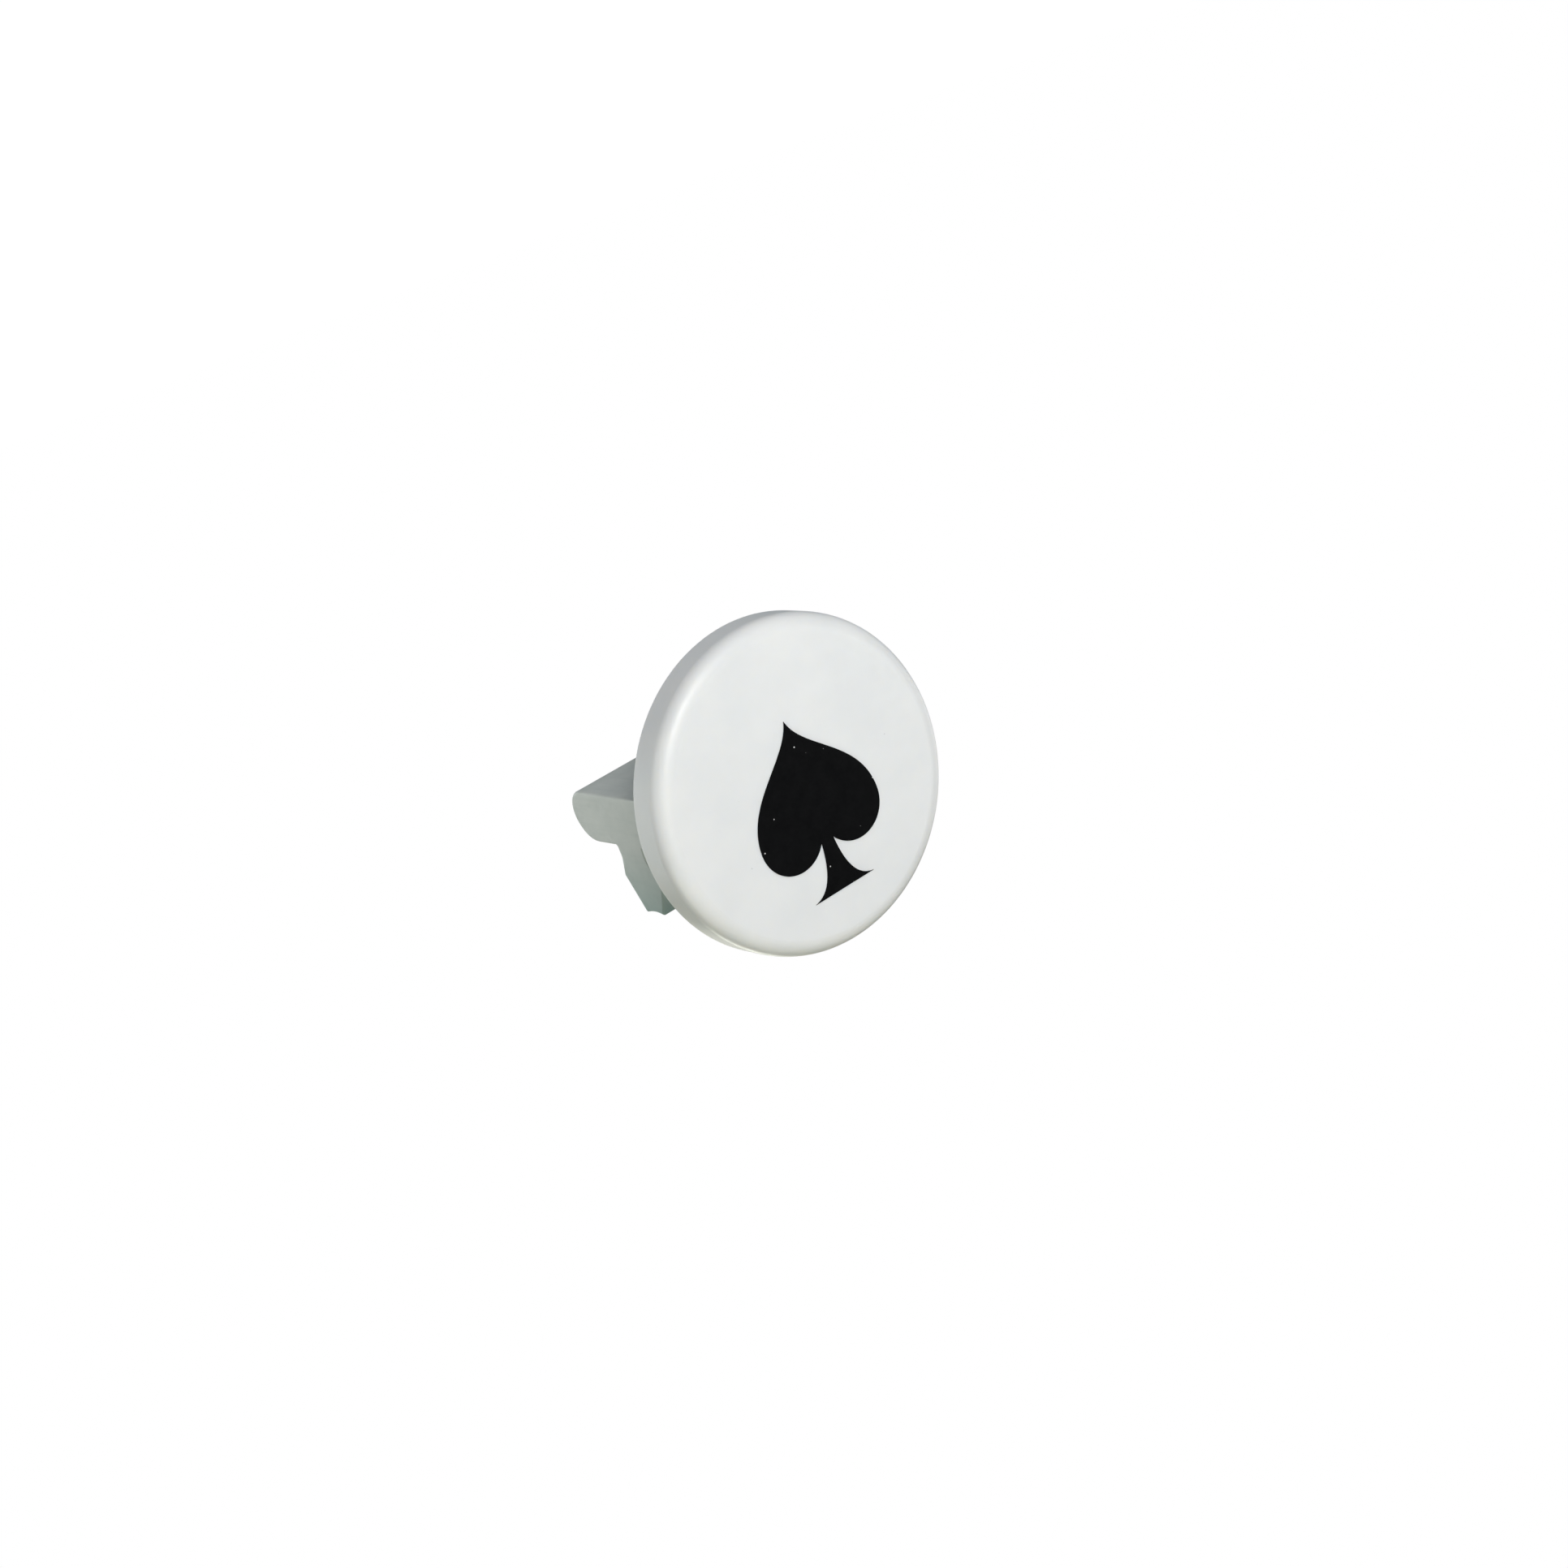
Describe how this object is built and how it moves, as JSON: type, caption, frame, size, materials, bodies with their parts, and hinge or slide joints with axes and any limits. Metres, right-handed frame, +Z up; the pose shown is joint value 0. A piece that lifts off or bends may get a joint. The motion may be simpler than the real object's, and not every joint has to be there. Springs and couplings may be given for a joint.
{
  "type": "dealer button",
  "caption": "Round white marker cap with a printed spade, carried on a rear arm with a round nose and a barbed plug that snaps it into a slot in a panel.",
  "frame": {"origin": "middle of the snap plug's neck, on the arm's flat underside, which is the plane that rests on the panel", "axes": "+X to the right as the face is read, +Y back from the face along the arm, +Z up; the plug points down -Z and the face looks towards -Y"},
  "size_m": [0.05, 0.0407, 0.05],
  "materials": {
    "cap_white": "satin moulded",
    "mark_black": "printed, satin",
    "plate_white": "fine matt texture",
    "arm_nylon": "satin moulded",
    "screw_steel": "zinc plated"
  },
  "bodies": {
    "root": {"face_cap": "cap_white", "face_mark": "mark_black", "rear_plate": "plate_white", "arm_bracket": "arm_nylon", "arm_screws": "screw_steel", "plate_screws": "screw_steel"}
  },
  "joints": []
}
